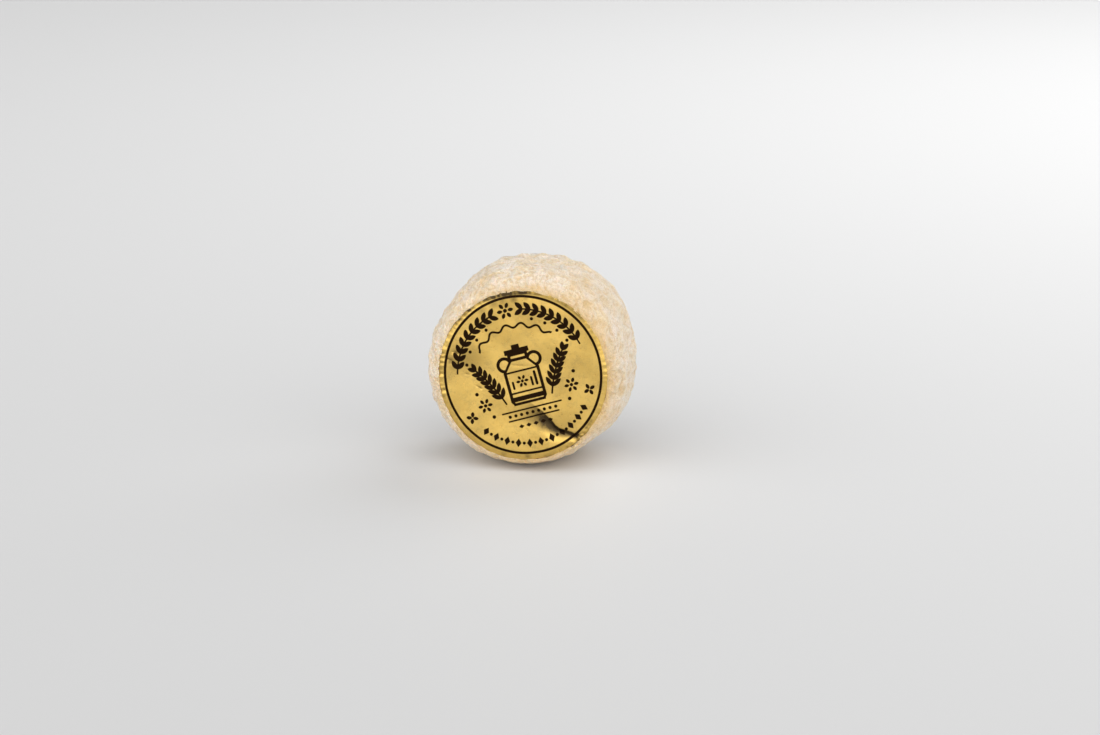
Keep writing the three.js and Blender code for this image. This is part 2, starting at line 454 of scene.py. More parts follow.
# The drum's outline from the middle of the face to the middle of the back: radius, depth and
# outward direction at each row. Both rounded edges are superellipses.
def drumRows():
    turn = np.radians(np.linspace(0, 90, rind["outlineSteps"] + 1))
    rise = np.sin(turn)
    fall = np.clip(np.cos(turn), 0, 1)
    corners = []
    for flat, length, power in (
        (drum["flatFace"], drum["shoulder"], drum["shoulderPower"]),
        (drum["flatBack"], drum["heel"], drum["heelPower"]),
    ):
        out = flat + (drum["radius"] - flat) * rise ** (2 / power[0])
        back = length * (1 - fall ** (2 / power[1]))
        corners.append((out, back))
    (shoulderOut, shoulderBack), (heelOut, heelBack) = corners
    radius = np.concatenate([[0], shoulderOut, heelOut[::-1], [0]])
    depth = np.concatenate([[0], shoulderBack, drum["length"] - heelBack[::-1], [drum["length"]]])
    travelled = np.concatenate([[0], np.cumsum(np.hypot(np.diff(radius), np.diff(depth)))])
    lipStart = seat["labelRadius"] - rind["lipReach"]
    lipEnd = seat["edge"] + rind["lipReach"]
    heelEnd = travelled[-2]
    at = np.concatenate([
        np.linspace(0, lipStart, rind["hiddenRows"], endpoint=False),
        np.linspace(lipStart, lipEnd, rind["lipRows"], endpoint=False),
        np.linspace(lipEnd, heelEnd, rind["sideRows"], endpoint=False),
        np.linspace(heelEnd, travelled[-1], rind["backRows"]),
    ])
    rowRadius = np.interp(at, travelled, radius)
    rowDepth = np.interp(at, travelled, depth)
    outRadius = np.gradient(rowDepth, at)
    outDepth = -np.gradient(rowRadius, at)
    size = np.hypot(outRadius, outDepth)
    return rowRadius, rowDepth, outRadius / size, outDepth / size


# Wrinkles, from 0 in a valley to 1 on a ridge: crossed waves, pushed sideways by longer waves so
# that they wander, and squared off by a hyperbolic tangent into worms with narrow valleys.
def worms(x, y, z, length, seed):
    longer = length * rind["warpLength"]
    push = [
        rind["warp"] * crossedWaves(x, y, z, longer, seededPhases(rind["longWaves"], seed + 1 + i))
        for i in range(3)
    ]
    phases = seededPhases(rind["waves"], seed)
    waves = crossedWaves(x + push[0], y + push[1], z + push[2], length, phases)
    steep, raised = rind["steepness"]
    return 0.5 + 0.5 * np.tanh(steep * waves + raised)


# Width of the gap beside the label at an angle, and how far out the wall of the rind starts there:
# the label's radius less an inset and the lap, plus the gap and a sum of waves.
def labelWall(degrees):
    gap = 0 * degrees
    for first, last, width in seat["wallOpen"]:
        middle = (first + last) / 2
        apart = np.abs(turnBetween(degrees, middle)) - (last - first) / 2
        gap = np.maximum(gap, width * (1 - smooth(apart, -seat["openBlend"], seat["openBlend"])))
    longest, step, count = seat["driftWaves"]
    drift = 0 * degrees
    for i, phase in enumerate(seededPhases(count, rind["driftSeed"])):
        drift += np.cos(np.radians((longest + step * i) * degrees) + phase)
    middle, spread, distance = seat["wallLap"]
    lap = distance * bell(turnBetween(degrees, middle), spread)
    wall = seat["labelRadius"] - seat["wallInset"] - lap + gap
    return gap, wall + seat["wallDrift"] * drift / math.sqrt(count)


# Strength of soft round marks at each point: the strongest of a bell round each mark's place.
def marked(x, y, z, marks):
    share = np.zeros(np.shape(x))
    for (atX, atY, atZ), spread, strength in marks:
        apart = np.sqrt((x - atX) ** 2 + (y - atY) ** 2 + (z - atZ) ** 2)
        share = np.maximum(share, strength * bell(apart, spread))
    return share


# The rind as a grid of rows from front to back and columns round the drum: the outline turned round
# the axis, then moved along its outward direction by bumps, lobes, lumps, wrinkles and marks.
def rindSurface():
    radius, depth, outRadius, outDepth = (row[:, None] for row in drumRows())
    angle = np.linspace(0, 2 * math.pi, rind["columns"], endpoint=False)[None, :]
    degrees = np.degrees(angle)
    front = depth < drum["length"] / 2
    fromBottom = turnBetween(degrees, bottom)

    # Inside the lip the rings are centred on the label, outside it on the drum
    nearSeat = np.where(front, 1 - smooth(radius, seat["edge"], seat["edge"] + seat["lipBlend"]), 0)
    x = nearSeat * seat["shift"][0] + radius * np.cos(angle)
    z = nearSeat * seat["shift"][1] + radius * np.sin(angle)
    y = np.where(nearSeat > 0, faceDepth(np.hypot(x, z)), depth)

    onSide = smooth(radius, drum["flatBack"], drum["radius"])
    fromSeat = np.where(front, smooth(radius, seat["edge"], seat["edge"] + drum["bumpStart"]), 1)
    standing = onSide * bell(fromBottom, drum["restCalm"])
    bumps = crossedWaves(x, y, z, drum["bumpLength"], evenPhases(drum["bumpWaves"]))
    height = drum["bumpHeight"] * bumps * fromSeat * (1 - standing)
    height += unevenness(degrees) * onSide * fromSeat

    phases = seededPhases(rind["longWaves"], rind["calmSeed"])
    calm = smooth(crossedWaves(x, y, z, rind["calmLength"], phases), *rind["calmRange"])
    worm = worms(x, y, z, rind["wormLength"], rind["wormSeed"])
    fine = worms(x, y, z, rind["fineLength"], rind["fineSeed"])
    gap, wall = labelWall(degrees)
    wrinkled = np.where(front, smooth(radius, wall, wall + rind["wrinkleStart"]), 1)
    wrinkled = wrinkled * (rind["calmShare"] + (1 - rind["calmShare"]) * calm)
    wrinkled = wrinkled * (1 - rind["pressed"] * standing)
    height -= wrinkled * (rind["wormDepth"] * (1 - worm) + rind["fineDepth"] * (1 - fine))
    height -= rind["sunk"] * onSide * (1 - standing)
    below = bell(fromBottom, rind["tuckSpread"]) * smooth(radius, seat["edge"], rind["tuckRadius"])
    height -= rind["tuck"] * below * (1 - smooth(depth, *rind["tuckFade"]))
    spots = marked(x, y, z, rind["brownMarks"])
    height += marked(x, y, z, rind["knobs"]) - marked(x, y, z, rind["hollows"])
    height -= rind["spotDepth"] * spots

    # The seat lies behind the label, and a low lip stands round it
    inset = seat["inset"] + seat["thickness"] + seat["gap"] + rind["seatRoom"]
    inset = inset * (1 - smooth(radius, wall, wall + seat["wallSlope"]))
    lip = rind["lipShare"] * seat["lipHeight"] * (1 - bell(fromBottom, rind["lipLow"]))
    inset = inset - lip * bell(radius - wall - rind["lipPlace"], seat["lipWidth"])
    patches = marked(x, y, z, rind["tanMarks"])
    y = y + np.where(front, inset + dentDepth(x, z) * nearSeat, 0)

    x = x + height * outRadius * np.cos(angle)
    z = z + height * outRadius * np.sin(angle)
    y = leaned(y + height * outDepth, z)
    z = np.maximum(z, drum["restSink"] - drum["radius"])

    # Tan beside the label, most on its right, and low down where the drum stands: partly the rind's tan,
    # partly painted shade in the hollow by the label and on the underside
    reach, more = rind["tanReach"]
    nearLabelTanShade = bell(np.maximum(radius - wall, 0), reach + more * np.cos(angle))
    strength, more = rind["tanShadeShare"]
    nearLabelTanShade = np.where(front, nearLabelTanShade * (strength + more * np.cos(angle)), 0)
    spread, strength = rind["tanShadeFoot"]
    low = strength * bell(fromBottom, spread) * smooth(radius, *rind["tanShadeFootStart"])
    tan = np.maximum(np.maximum(nearLabelTanShade, low), patches)

    # Brown in the spots, painted shade in the gaps beside the label and a painted contact shadow at the
    # foot
    gapShade = np.where(front, 1 - smooth(radius, wall, wall + rind["gapBlend"]), 0)
    gapShade = gapShade * np.minimum(gap / rind["gapDark"], 1)
    spread, strength = rind["footShadowBand"]
    footShadow = strength * bell(z - drum["restSink"] + drum["radius"], spread)
    brownAndShadow = np.maximum(np.maximum(spots, gapShade), footShadow)
    # Crest: wrinkle height, which the finish paints as shade in the valleys and as highlight on the ridges
    crest = (1 - rind["fineShare"]) * worm + rind["fineShare"] * fine
    return x, y, z, {"crest": crest, "tan": tan, "brownAndShadow": brownAndShadow}


# Cream that deepens in the valleys, partly as painted shade, under a pale bloom in patches and a painted
# highlight on the ridge crests, then tan with painted shade, pits darkened as painted shade, and brown with
# painted shadows.
def rindFinish():
    material, bench = newMaterial("rindFinish")
    crest = bench.carried("crest")
    patches = bench.clouds(rind["patchSize"], 3.0)
    blotches = bench.clouds(rind["blotchSize"], 2.0, shift=(0.3, 0.1, 0.7), drawn=1.6)
    grains = bench.clouds(rind["grainSize"], 2.0, shift=(0.9, 0.4, 0.2), drawn=1.7)
    pits = bench.clouds(rind["pitSize"], 1.0, shift=(0.2, 0.7, 0.6), drawn=1.4)
    # Valleys darker than the ridges by the crest: painted shade, with the rind's peach tone
    high = (crest * 0.5 + grains * 0.3 + blotches * 0.5).ramp(0.3, 0.9)
    colour = bench.mixed(rind["valley"], rind["cream"], high)
    # Bloom in patches, and a painted highlight on the ridge crests
    bloomedAndLit = (patches * 0.9 + blotches * 0.4 + crest * 0.3 + grains * 0.2).ramp(0.7, 1.2)
    colour = bench.mixed(colour, rind["bloomAndHighlight"], bloomedAndLit * rind["bloomAndHighlightShare"])
    # Tan, which also carries painted shade beside the label and low down
    tannedAndShaded = bench.carried("tan") * (0.35 + patches * 0.7 + grains * 0.5)
    colour = bench.mixed(colour, rind["tan"], tannedAndShaded.clamped())
    # Pits darker where the bump sinks them: painted shade, with random speckle
    pitShaded = (pits * 0.6 + grains * 0.5).ramp(0.45, 0.8)
    colour = bench.mixed(colour, rind["pitShade"], pitShaded * rind["pitShadeShare"])
    # Brown, which also carries the painted shadows in the gaps and at the foot
    colour = bench.mixed(colour, rind["brownAndShadow"], bench.carried("brownAndShadow"))
    lint = bench.clouds(rind["lintSize"], 4.0, 0.7, shift=(0.5, 0.5, 0.1), drawn=1.8)
    normal = bench.bumped(lint * 0.8 - pits * 0.6, rind["lintDepth"])
    bench.finished({
        "Base Color": colour,
        "Roughness": 0.72,
        "Specular IOR Level": 0.3,
        "Subsurface Weight": 0.4,
        "Subsurface Radius": (1.0, 0.7, 0.45),
        "Subsurface Scale": rind["glowDepth"] * mm,
        "Sheen Weight": 0.3,
        "Sheen Roughness": 0.45,
        "Normal": normal,
    })
    return material


# The rind as one closed piece, with a single point in place of the first and of the last row.
def makeRind():
    x, y, z, attributes = rindSurface()
    rows, columns = x.shape
    points = placed(x, y, z)
    last = len(points) - columns
    keep = np.r_[0, columns:last, last]
    faces = ringFaces(rows - 2, columns, 0, 1, len(keep) - 1)
    carried = {name: np.ravel(values)[keep] for name, values in attributes.items()}
    return makePiece("rindSkin", points[keep], faces, carried, rindFinish())


# Foil label: what a user would change
foil = {
    "cells": 290,  # across the front
    "backRings": 8,
    "edgeThickness": 0.3,
    "backSink": 0.45,  # how much further back the plain back lies, away from the rim
    "backBlend": 0.1,  # share of the radius in which it does
    "creases": [  # start, end, depth, width: sharp lines pressed into the foil
        ((-23.4, 3.9), (-19.4, 2.0), 0.4, 0.4),
        ((-21.2, 5.7), (-18.2, 4.4), 0.2, 0.45),
        ((-16.2, 0.4), (-14.2, 0.1), 0.12, 0.25),
        ((-17.2, -0.8), (-15.6, -1.2), 0.1, 0.25),
        ((-13.8, -4.2), (-11.6, -5.3), 0.12, 0.25),
        ((15.6, -17.6), (18.8, -18.3), 0.35, 0.3),
        ((15.9, -17.8), (16.4, -20.2), 0.3, 0.3),
        ((16.2, -17.4), (19.4, -16.3), 0.25, 0.3),
        ((18.9, -15.6), (20.6, -12.4), 0.22, 0.35),
        ((-3.5, 2.4), (3.0, 2.2), 0.05, 0.3),
        ((6.5, 1.5), (9.5, -7.5), 0.04, 0.3),
    ],
    "creaseRise": (-0.1, 0.15),  # places between which a crease deepens
    "creaseFade": (0.5, 1.05),  # and between which it runs out
    "cockle": 0.035, "cockleLength": 9, "cockleWaves": 16, "cockleSeed": 6,
    "rimStart": 22.8,  # radius from which the rim is crinkled
    "rimDepth": 0.14, "rimSeed": 5,
    "rimWaves": (30, 130, 14),  # fewest and most in a turn, and how many kinds
    "rimPress": (0.7, 0.8),  # how far the rim is pressed in, and the swing of its waves
    "rimEven": 0.25,  # strength of the crinkles all round
    "rimCrinkles": [(113, 13, 1.0), (178, 12, 0.8), (-48, 9, 0.7)],  # angle, spread, more strength
    "rimLift": (62, 24, 0.25),  # angle, spread and height of the stretch that stands up
    "sunk": 0.14,  # keeps the front of the foil inside the plain label
    "gold": (0.68, 0.455, 0.125),
    "goldDeep": (0.62, 0.40, 0.10),
    "goldDull": (0.46, 0.32, 0.10),
    "ink": (0.014, 0.007, 0.003),
    # brown of tarnish, also used as painted shadow, shade and dark reflection
    "tarnishAndShade": (0.055, 0.038, 0.018),
    "mottleSize": 1.1, "driftSize": 9, "blotSize": 2.6, "grainSize": 0.4, "grainDepth": 0.07,
    "dullShare": 0.7,
    "foldShadowBand": [  # place along the fold, width and darkness of the painted shadow and dark reflection beside its ledge
        (0.0, 0.9, 0.0), (0.08, 1.2, 1.1), (0.2, 1.4, 1.2), (0.3, 1.8, 1.2), (0.42, 2.0, 1.15),
        (0.5, 2.1, 1.2), (0.6, 2.8, 1.2), (0.7, 3.3, 1.15), (0.8, 3.6, 0.95), (0.9, 4.0, 0.7),
        (1.0, 4.1, 0.5), (1.1, 4.0, 0.28), (1.2, 3.9, 0.16), (1.35, 3.9, 0.08), (1.55, 3.9, 0.0),
    ],
    "foldBandEdge": (0.4, 1.6),  # widths between which that painted shadow fades on the gentle side
    "foldBandPower": 0.6,
    "foldLedgeEdge": 0.3,  # distance in which it fades beyond the ledge
    "creaseShade": 2.2,  # painted shade in a crease for each millimetre of depth
    "rimDirt": [  # middle and spread of the angle, strength: brown along the rim, painted shade beside the lifted edge, on the folded upper left and in the crinkles, and some dirt
        (38, 6, 0.35), (50, 6, 0.7), (61, 5, 0.75), (71, 4, 0.35), (82, 4, 0.9), (92, 6, 1.5),
        (103, 7, 1.5), (113, 7, 1.4), (122, 4, 0.8), (131, 5, 1.2), (141, 5, 1.0), (151, 4, 0.45),
        (175, 6, 0.5), (196, 4, 0.35), (315, 6, 0.6), (288, 3, 0.35),
    ],
    "rimShadeAndDirtStart": (23.85, 24.45),  # radii between which it starts
    "rimShadeAndDirtWide": (101, 13, 0.5),  # angle, spread and distance by which it starts further in
    "rimDirtUneven": 0.22,
    "dirtAndShade": [  # across, up, spread, strength: soft brown spots, some dirt and some painted shade and dark reflection in the dimple, at the fold's end and inside the ring at the upper left
        (-21.6, 2.6, 0.7, 0.8), (-21.0, 0.9, 1.1, 0.4), (-20.0, 5.3, 0.55, 0.75), (-18.0, 5.9, 0.9, 0.5),
        (-16.3, 3.1, 0.8, 0.35), (-15.6, 1.4, 1.6, 0.32), (-14.9, 0.2, 0.6, 0.4), (-16.5, -1.0, 0.5, 0.4),
        (-12.8, -4.7, 0.45, 0.5), (16.3, -17.3, 0.6, 1.1), (16.1, -19.3, 0.35, 0.6), (7.6, -21.9, 0.3, 0.6),
        (19.1, -15.3, 0.45, 0.7), (19.8, -14.2, 0.4, 0.65), (20.4, -13.0, 0.4, 0.5),
        (13.5, -21.0, 0.3, 0.5), (-5.5, -24.2, 0.6, 0.3), (1.8, -24.4, 0.6, 0.45),
        (-23.9, 4.9, 0.35, 0.6), (-24.0, 2.2, 0.3, 0.5), (-23.3, -5.6, 0.4, 0.5), (-9.0, 20.3, 1.1, 0.5),
        (-6.5, 21.1, 0.9, 0.4), (-3.0, 21.8, 0.8, 0.6), (-12.3, 18.3, 1.0, 0.4), (0.6, 22.3, 0.6, 0.4),
        (-18.5, 12.5, 1.2, 0.2), (-17.5, 1.0, 4.5, 0.35), (0.0, 15.0, 8.0, 0.13), (18.0, 2.0, 8.0, 0.14),
        (13.0, -15.0, 5.0, 0.12),
    ],
}


# Rings of the square grid turned into rings of a disc: the larger of |a| and |b| is the radius,
# and the way round the square becomes the way round the circle.
def discGrid(cells):
    line = np.linspace(-1, 1, cells + 1)
    a, b = np.meshgrid(line, line)
    radius = np.maximum(np.abs(a), np.abs(b))
    wide = np.abs(a) >= np.abs(b)
    size = np.where(radius == 0, 1, radius)
    angle = np.where(wide, b / size * math.pi / 4, math.pi / 2 - a / size * math.pi / 4)
    angle = np.where(wide & (a < 0), math.pi - angle, angle)
    angle = np.where(~wide & (b < 0), -angle, angle)
    return radius, angle


# Distance from the label's middle, and angle round it in degrees.
def roundLabel(x, z):
    aboutX = x - seat["shift"][0]
    aboutZ = z - seat["shift"][1]
    return np.hypot(aboutX, aboutZ), np.degrees(np.arctan2(aboutZ, aboutX))


# Depth of a sharp crease: deepest on its line, fading sideways as e to the power of minus the
# distance in widths, and towards its ends.
def creaseDepth(x, z, start, end, depth, width):
    along, aside = besideLine(x, z, start, end)
    share = smooth(along, *foil["creaseRise"]) * (1 - smooth(along, *foil["creaseFade"]))
    return depth * share * np.exp(-np.abs(aside) / width)


# Waves round the edge: a sum of cosines of random counts in a turn, mostly from -1.4 to 1.4.
def rimWaves(degrees):
    fewest, most, kinds = foil["rimWaves"]
    random = np.random.default_rng(foil["rimSeed"])
    waves = np.zeros(np.shape(degrees))
    for count in random.integers(fewest, most, kinds):
        waves += np.cos(np.radians(count * degrees) + random.uniform(0, 2 * math.pi))
    return waves / math.sqrt(kinds)


# Crinkles of the rim: waves round the edge times a strength with a bell at each crumpled stretch,
# less a bell where the rim stands up.
def rimRelief(radius, degrees):
    strength = foil["rimEven"]
    for angle, spread, more in foil["rimCrinkles"]:
        strength = strength + more * bell(turnBetween(degrees, angle), spread)
    pressed, swing = foil["rimPress"]
    crinkled = foil["rimDepth"] * strength * (pressed + swing * rimWaves(degrees))
    atRim = smooth(radius, foil["rimStart"], seat["labelRadius"])
    angle, spread, height = foil["rimLift"]
    lifted = height * bell(turnBetween(degrees, angle), spread)
    return atRim * (crinkled - lifted * atRim)


# How much deeper the foil lies than the plain face: crinkles, faint crossed waves and creases.
def foilRelief(x, z):
    relief = rimRelief(*roundLabel(x, z))
    phases = seededPhases(foil["cockleWaves"], foil["cockleSeed"])
    relief += foil["cockle"] * crossedWaves(x, 0 * x, z, foil["cockleLength"], phases)
    for crease in foil["creases"]:
        relief += creaseDepth(x, z, *crease)
    return relief


# How brown the foil is: the strongest of the fold's band, a painted shadow and dark reflection, the rim's
# stretches, the creases' painted shade and the spots, which mix dirt with painted shade.
def tarnishAndShadeShare(x, z):
    along, aside = foldPlace(x, z)
    places, widths, darkness = zip(*foil["foldShadowBand"])
    width = np.interp(along, places, widths)
    near, far = foil["foldBandEdge"]
    slope = (1 - smooth(-aside, near * width, far * width)) ** foil["foldBandPower"]
    share = np.where(aside > 0, 1 - smooth(aside, 0, foil["foldLedgeEdge"]), slope)
    share = share * np.interp(along, places, darkness, 0, 0)
    radius, degrees = roundLabel(x, z)
    middle, spread, further = foil["rimShadeAndDirtWide"]
    radius = radius + further * bell(turnBetween(degrees, middle), spread)
    uneven = foil["rimDirtUneven"]
    outer = smooth(radius, *foil["rimShadeAndDirtStart"]) * (1 - uneven + uneven * rimWaves(degrees))
    for angle, spread, strength in foil["rimDirt"]:
        share = np.maximum(share, strength * outer * bell(turnBetween(degrees, angle), spread))
    for crease in foil["creases"]:
        share = np.maximum(share, foil["creaseShade"] * creaseDepth(x, z, *crease))
    for spotX, spotZ, spread, strength in foil["dirtAndShade"]:
        share = np.maximum(share, strength * bell(np.hypot(x - spotX, z - spotZ), spread))
    return share


# A point of the foil: the face's depth there, plus dents, relief and its own inset, then leaned.
def foilPoint(x, z, inset):
    y = faceDepth(np.hypot(x, z)) + dentDepth(x, z) + foilRelief(x, z) + foil["sunk"] + inset
    return placed(x, leaned(y, z), z)


# Print: a generic ornament in black ink, in millimetres and degrees. Each shape gives the distance
# to its edge, below zero inside.
printed = {
    "turn": 16.5,
    "middle": (0, -0.3),  # of the ring, from the middle of the face
    "ringRadius": 23.12,
    "ringWidth": 0.78,
    "edge": 0.07,  # softness of the ink's edge
    "flower": (0.36, 1.05, 0.65),  # dot, length and width of a petal, for a reach of 1
    "garland": {
        "radius": 19.4, "pairs": 9, "first": 15.5, "step": 7.0,  # angles from the top
        "lean": 38, "leafReach": 1.5, "leaf": (3.0, 1.45),  # length, width
        "berry": (2.6, 2, 0.5),  # inset, turn, size
        "stem": (12, 76, 0.3, 0.25),  # from, to, length of a degree, half width
        "flower": 1.65,
    },
    "lowerRow": {
        "radius": 20.2, "half": 5, "step": 9.6, "lozenge": (2.7, 1.8), "dot": 0.48,
        "rosette": (64, 0.2),  # turn from the bottom, inset
        "petal": (1.0, (1.7, 1.05)),  # reach, then length and width
    },
    "churn": {
        "profile": [(-8.0, 4.4), (-7.2, 5.0), (1.6, 5.0), (4.6, 2.6), (6.4, 2.6)],  # height, half width
        "slant": 0.85,  # distance to a slanting side for each millimetre across
        "halfLine": 0.4,
        "blocks": [  # middle, half width, half height: lid, knob, neck and foot
            ((0, 7.3), 3.7, 0.75), ((0, 8.6), 1.2, 0.65), ((0, 4.9), 2.6, 0.45), ((0, -6.6), 4.8, 0.7),
        ],
        "strokes": [  # start, end, width: two hoops, then the shading
            ((-5.0, -4.8), (5.0, -4.8), 0.55), ((-5.0, 1.4), (5.0, 1.4), 0.55),
            ((3.5, -3.4), (3.5, 0.2), 0.8), ((2.2, -3.4), (2.2, -1.2), 0.7),
            ((-3.5, -3.4), (-3.5, -1.6), 0.7),
        ],
        "handle": (4.5, 4.0, 1.9, 0.48),  # across, up, radius, half width
        "flower": ((-0.6, -1.7), 1.25),
    },
    "sprig": {
        "start": (7.0, -7.2), "run": (4.4, 13.0), "bend": (1.8, -1.6), "stem": 0.55,
        "pairs": 7, "lean": 40, "tipLean": 22,
        "leaf": (3.6, 0.12, 1.35),  # length, how much shorter each pair is, width
        "flower": ((13.2, -6.2), 1.45), "dots": [(11.6, -10.0), (14.8, -2.4)], "dot": 0.55,
    },
    "rules": {
        "lines": [(-9.9, 9.0), (-12.5, 7.6)], "line": 0.5,  # height, half length
        "dots": (4, 1.75, -11.2), "dot": 0.5,  # on each side of the middle, step, height
        "lozenges": (2, 2.2, -14.6), "lozenge": (1.7, 1.2),
        "wave": (20, 0.6, 14.7, 0.32),  # waves in a full turn, swing, radius, half width
        "waveEnd": (49.5, 0.27),  # angle from the top, length of a degree
    },
}


# The place at a distance and angle from a middle, by the angle's cosine and sine.
def polar(distance, degrees, middle=(0, 0)):
    turn = math.radians(degrees)
    return middle[0] + distance * math.cos(turn), middle[1] + distance * math.sin(turn)


# Distances from a place along a direction and to the left of it.
def alongTurn(x, y, at, degrees):
    cos, sin = polar(1, degrees)
    along = (x - at[0]) * cos + (y - at[1]) * sin
    aside = (y - at[1]) * cos - (x - at[0]) * sin
    return along, aside


# A disc: the distance from its middle less its radius.
def dotShape(x, y, at, size):
    return np.hypot(x - at[0], y - at[1]) - size


# A line with round ends: the distance from the nearest place on it less half its width.
def strokeShape(x, y, start, end, width):
    along, aside = besideLine(x, y, start, end)
    beyond = (along - np.clip(along, 0, 1)) * math.dist(start, end)
    return np.hypot(beyond, aside) - width / 2


# A leaf is where two equal discs overlap.
def leafShape(x, y, at, turn, length, width):
    along, aside = alongTurn(x, y, at, turn)
    size = (length**2 + width**2) / (4 * width)
    offset = size - width / 2
    return np.maximum(np.hypot(along, aside + offset), np.hypot(along, aside - offset)) - size


# An upright oblong: how far a point is past its sides, across or up, whichever is more.
def blockShape(x, y, at, halfWide, halfHigh):
    return np.maximum(np.abs(x - at[0]) - halfWide, np.abs(y - at[1]) - halfHigh)


# A lozenge: the distance to its sloping side in the quarter that the point is in.
def lozengeShape(x, y, at, turn, length, width):
    along, aside = alongTurn(x, y, at, turn)
    slope = width / length
    return (np.abs(aside) + np.abs(along) * slope - width / 2) / math.hypot(1, slope)


# Leaves round a place, each pointing away from it.
def petals(x, y, at, count, first, reach, leaf):
    turns = [first + 360 / count * i for i in range(count)]
    return [leafShape(x, y, polar(reach, turn, at), turn, *leaf) for turn in turns]


# A pair of leaves that lean to both sides of the way that a stem is heading.
def leafPair(x, y, stem, heading, lean, reach, leaf):
    turns = (heading - lean, heading + lean)
    return [leafShape(x, y, polar(reach, turn, stem), turn, *leaf) for turn in turns]


# Petals round a dot, all in proportion to their reach.
def flower(x, y, at, reach):
    dot, length, width = printed["flower"]
    leaf = (length * reach, width * reach)
    return [dotShape(x, y, at, dot * reach), *petals(x, y, at, 6, 0, reach, leaf)]


# Two garlands that meet at a flower at the top: pairs of leaves and berries on an arc.
def garland(x, y):
    size = printed["garland"]
    radius = size["radius"]
    leaf = (size["lean"], size["leafReach"], size["leaf"])
    inset, turn, berry = size["berry"]
    shapes = flower(x, y, (0, radius), size["flower"])
    for side in (-1, 1):
        for i in range(size["pairs"]):
            angle = 90 + side * (size["first"] + size["step"] * i)
            shapes += leafPair(x, y, polar(radius, angle), angle - 90 * side, *leaf)
            if i % 2:
                shapes.append(dotShape(x, y, polar(radius - inset, angle + turn * side), berry))
    fromTop = np.abs(turnBetween(np.degrees(np.arctan2(y, x)), 90))
    first, last, degree, half = size["stem"]
    beyond = np.maximum(fromTop - last, first - fromTop) * degree
    shapes.append(np.maximum(np.abs(np.hypot(x, y) - radius) - half, beyond))
    return shapes


# A row of lozenges and dots along the bottom, with a four-petal rosette at each end.
def lowerRow(x, y):
    size = printed["lowerRow"]
    radius = size["radius"]
    shapes = []
    for i in range(-size["half"], size["half"] + 1):
        angle = bottom + size["step"] * i
        shapes.append(lozengeShape(x, y, polar(radius, angle), angle, *size["lozenge"]))
        if i < size["half"]:
            shapes.append(dotShape(x, y, polar(radius, angle + size["step"] / 2), size["dot"]))
    turn, inset = size["rosette"]
    for angle in (bottom - turn, bottom + turn):
        shapes += petals(x, y, polar(radius - inset, angle), 4, angle + 45, *size["petal"])
    return shapes


# A milk churn in outline, with filled lid, neck and foot: its body lies inside a profile of half
# widths and two ends.
def churn(x, y):
    size = printed["churn"]
    heights, widths = zip(*size["profile"])
    side = (np.abs(x) - np.interp(y, heights, widths)) * size["slant"]
    body = np.maximum(side, np.maximum(heights[0] - y, y - heights[-1]))
    shapes = [np.abs(body) - size["halfLine"], *flower(x, y, *size["flower"])]
    shapes += [blockShape(x, y, *block) for block in size["blocks"]]
    shapes += [strokeShape(x, y, *stroke) for stroke in size["strokes"]]
    across, up, radius, half = size["handle"]
    for hand in (-1, 1):
        handle = np.abs(np.hypot(x - across * hand, y - up) - radius) - half
        shapes.append(np.maximum(handle, -body))
    return shapes


# A sprig on each side: a stem bent as a parabola, with leaves that shrink towards its tip.
def sprigs(x, y):
    size = printed["sprig"]
    (startX, startY), (runX, runY), (bendX, bendY) = size["start"], size["run"], size["bend"]
    longest, shrink, width = size["leaf"]
    (flowerX, flowerY), reach = size["flower"]
    shapes = []
    for hand in (-1, 1):
        route = [
            (hand * (startX + runX * t + bendX * t * t), startY + runY * t + bendY * t * t)
            for t in np.linspace(0, 1, size["pairs"] + 1)
        ]
        for i, (before, at) in enumerate(zip(route, route[1:]), 1):
            shapes.append(strokeShape(x, y, before, at, size["stem"]))
            heading = math.degrees(math.atan2(at[1] - before[1], at[0] - before[0]))
            length = longest - shrink * i
            lean = size["lean"] if i < size["pairs"] else size["tipLean"]
            shapes += leafPair(x, y, at, heading, lean, 0.5 * length, (length, width))
        shapes += flower(x, y, (hand * flowerX, flowerY), reach)
        shapes += [dotShape(x, y, (hand * dotX, dotY), size["dot"]) for dotX, dotY in size["dots"]]
    return shapes


# Dots between two rules and a row of lozenges, and above the churn a waving line: a circle plus a
# sine, its distance divided by the slope's lengthening.
def rules(x, y):
    size = printed["rules"]
    shapes = [
        strokeShape(x, y, (-half, level), (half, level), size["line"]) for level, half in size["lines"]
    ]
    side, step, level = size["dots"]
    for i in range(-side, side + 1):
        shapes.append(dotShape(x, y, (step * i, level), size["dot"]))
    side, step, level = size["lozenges"]
    for i in range(-side, side + 1):
        shapes.append(lozengeShape(x, y, (step * i, level), 0, *size["lozenge"]))
    waves, swing, radius, half = size["wave"]
    angle = np.degrees(np.arctan2(y, x))
    turn = np.radians(angle * waves)
    waving = np.hypot(x, y) - radius - swing * np.sin(turn)
    slope = swing * waves / radius * np.cos(turn)
    end, degree = size["waveEnd"]
    beyond = (np.abs(turnBetween(angle, 90)) - end) * degree
    shapes.append(np.maximum(np.abs(waving) / np.hypot(1, slope) - half, beyond))
    return shapes


# Distance to the nearest edge of the whole print, which is the least of all its shapes.
def printDistance(x, z):
    across, up = alongTurn(x, z, printed["middle"], printed["turn"])
    distance = np.abs(np.hypot(across, up) - printed["ringRadius"]) - printed["ringWidth"] / 2
    for shapes in (garland, lowerRow, churn, sprigs, rules):
        for shape in shapes(across, up):
            distance = np.minimum(distance, shape)
    return np.clip(distance, -1, 1)
